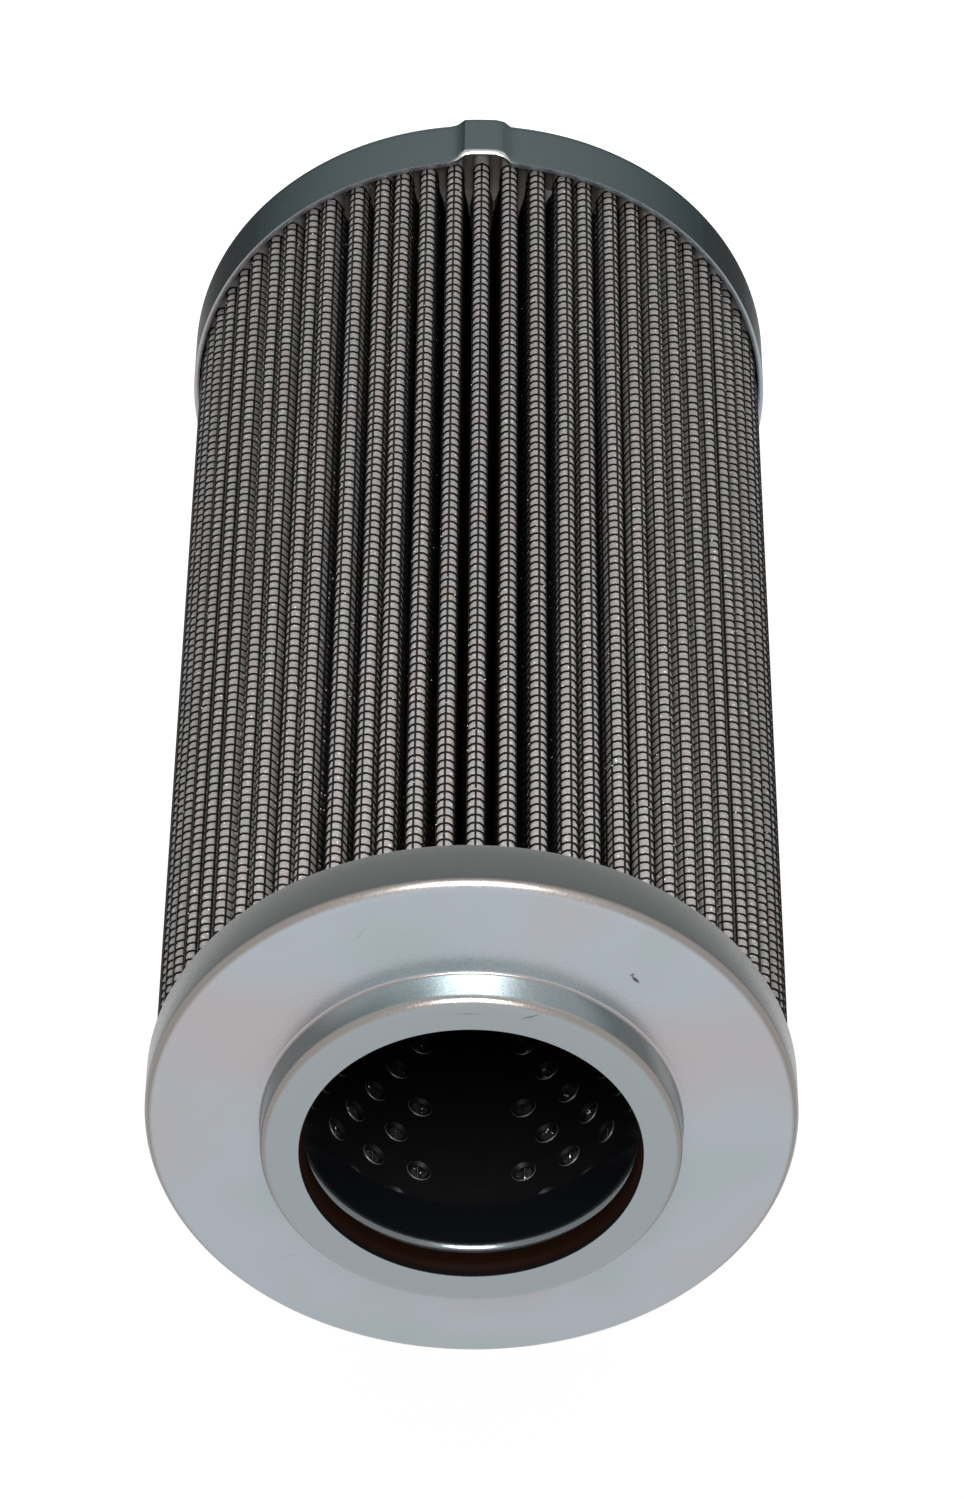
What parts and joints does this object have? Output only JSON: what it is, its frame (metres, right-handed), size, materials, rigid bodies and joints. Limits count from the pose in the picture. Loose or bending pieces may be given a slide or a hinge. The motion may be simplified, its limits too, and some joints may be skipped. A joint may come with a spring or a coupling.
{
  "type": "hydraulic filter",
  "caption": "Pleated hydraulic pressure filter element with pressed zinc-plated end caps, a raised O-ring neck and a perforated core tube.",
  "frame": {"origin": "centre of the closed end cap's flat underside, where the element stands", "axes": "+Z along the element's axis, from the closed end to the neck; -Y towards the lug that the picture shows"},
  "size_m": [0.078, 0.0791, 0.1577],
  "materials": {
    "zinc_plated_steel": "satin",
    "tube_steel": "satin",
    "seal_rubber": "matte",
    "filter_fleece": "matte",
    "adhesive": "satin"
  },
  "bodies": {
    "root": {"neck_end_cap": "zinc_plated_steel", "closed_end_cap": "zinc_plated_steel", "guide_sleeve": "zinc_plated_steel", "core_tube": "tube_steel", "o_ring": "seal_rubber", "pleated_media": "filter_fleece", "seam_adhesive": "adhesive", "neck_potting": "adhesive", "closed_potting": "adhesive"}
  },
  "joints": []
}
